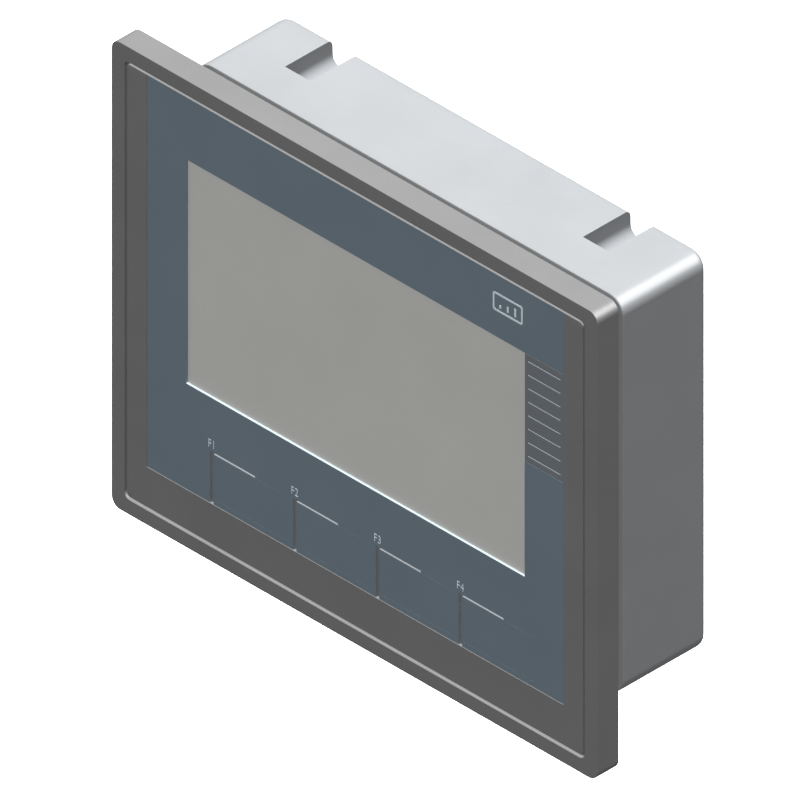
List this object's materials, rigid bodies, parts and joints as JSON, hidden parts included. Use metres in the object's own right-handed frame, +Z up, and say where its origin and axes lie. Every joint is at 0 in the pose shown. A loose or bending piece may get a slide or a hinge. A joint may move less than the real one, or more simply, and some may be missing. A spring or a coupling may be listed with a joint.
{
  "type": "hmi touch panel",
  "caption": "Panel-mounted operator touch panel: dark bezel, blue-grey foil, grey display window, function keys below it and a pale rear housing with clip notches.",
  "frame": {"origin": "centre of the panel cut-out, on the mounting plane, which is the bezel's rear face", "axes": "+X to the operator's right, +Y into the cabinet, +Z up; the display faces -Y"},
  "size_m": [0.14, 0.0404, 0.116],
  "materials": {
    "bezel_plastic": "satin moulded",
    "overlay_foil": "printed satin foil",
    "touch_surface": "matt anti-glare foil",
    "display_glass": "glossy",
    "housing_plastic": "satin moulded",
    "seal_rubber": "matt",
    "pressed_steel": "zinc plated",
    "dome_steel": "spring steel",
    "light_guide_acrylic": "clear, seen from its edge",
    "led_strip": "satin",
    "circuit_board": "solder resist",
    "chip_resin": "moulded epoxy",
    "plated_brass": "nickel plated",
    "screw_steel": "zinc plated",
    "heat_spreader_aluminium": "extruded",
    "capacitor_sleeve": "shrink sleeve",
    "ribbon_polyimide": "amber film",
    "connector_nylon": "natural",
    "terminal_polyamide": "green moulded",
    "header_polyamide": "black moulded",
    "port_shell_steel": "tin plated",
    "label_foil": "matt silver film"
  },
  "bodies": {
    "panel": {"backlight_strip": "led_strip", "board_screw_1": "screw_steel", "board_screw_2": "screw_steel", "board_screw_3": "screw_steel", "board_screw_4": "screw_steel", "board_spacer_1": "plated_brass", "board_spacer_2": "plated_brass", "board_spacer_3": "plated_brass", "board_spacer_4": "plated_brass", "buzzer": "chip_resin", "carrier_plate": "pressed_steel", "carrier_screw_1": "screw_steel", "carrier_screw_2": "screw_steel", "carrier_screw_3": "screw_steel", "carrier_screw_4": "screw_steel", "clock_capacitor": "heat_spreader_aluminium", "cover_screw_1": "screw_steel", "cover_screw_2": "screw_steel", "cover_screw_3": "screw_steel", "cover_screw_4": "screw_steel", "display_connector": "connector_nylon", "display_frame": "pressed_steel", "display_panel": "display_glass", "display_ribbon": "ribbon_polyimide", "earth_insert": "plated_brass", "earth_washer": "screw_steel", "flash_chip": "chip_resin", "front_bezel": "bezel_plastic", "front_overlay": "overlay_foil", "heat_spreader": "heat_spreader_aluminium", "input_capacitor": "capacitor_sleeve", "key_board": "circuit_board", "key_connector": "connector_nylon", "key_dome_sheet": "dome_steel", "key_ribbon": "ribbon_polyimide", "light_guide": "light_guide_acrylic", "main_board": "circuit_board", "memory_chip": "chip_resin", "mounting_seal": "seal_rubber", "network_socket": "port_shell_steel", "network_transformer": "chip_resin", "power_header": "header_polyamide", "power_inductor": "chip_resin", "processor": "chip_resin", "rating_label": "label_foil", "rear_housing": "housing_plastic", "touch_connector": "connector_nylon", "touch_ribbon": "ribbon_polyimide", "touch_sensor": "touch_surface", "usb_socket": "port_shell_steel", "usb_tongue": "header_polyamide"},
    "earth_screw": {"earth_screw": "screw_steel"},
    "function_key_1": {"function_key_1": "overlay_foil"},
    "function_key_2": {"function_key_2": "overlay_foil"},
    "function_key_3": {"function_key_3": "overlay_foil"},
    "function_key_4": {"function_key_4": "overlay_foil"},
    "plug_screw_1": {"plug_screw_1": "screw_steel"},
    "plug_screw_2": {"plug_screw_2": "screw_steel"},
    "power_plug": {"power_plug": "terminal_polyamide"}
  },
  "joints": [
    {"name": "function_key_1_press", "type": "slide", "parent": "panel", "child": "function_key_1", "axis": [0, 1, 0], "range_m": [0, 0.0004], "stiffness_N_per_m": 7500},
    {"name": "function_key_2_press", "type": "slide", "parent": "panel", "child": "function_key_2", "axis": [0, 1, 0], "range_m": [0, 0.0004], "stiffness_N_per_m": 7500},
    {"name": "function_key_3_press", "type": "slide", "parent": "panel", "child": "function_key_3", "axis": [0, 1, 0], "range_m": [0, 0.0004], "stiffness_N_per_m": 7500},
    {"name": "function_key_4_press", "type": "slide", "parent": "panel", "child": "function_key_4", "axis": [0, 1, 0], "range_m": [0, 0.0004], "stiffness_N_per_m": 7500},
    {"name": "power_plug_pull", "type": "slide", "parent": "panel", "child": "power_plug", "axis": [0, 0, -1], "range_m": [0, 0.012]},
    {"name": "plug_screw_1_turn", "type": "hinge", "parent": "power_plug", "child": "plug_screw_1", "pos_m": [-0.03104, 0.0195, -0.05175], "axis": [0, 0, 1], "range_deg": [0, 1080]},
    {"name": "plug_screw_2_turn", "type": "hinge", "parent": "power_plug", "child": "plug_screw_2", "pos_m": [-0.02596, 0.0195, -0.05175], "axis": [0, 0, 1], "range_deg": [0, 1080]},
    {"name": "earth_screw_turn", "type": "hinge", "parent": "panel", "child": "earth_screw", "pos_m": [0.031, 0.023, -0.05065], "axis": [0, 0, 1], "range_deg": [0, 1080]}
  ]
}
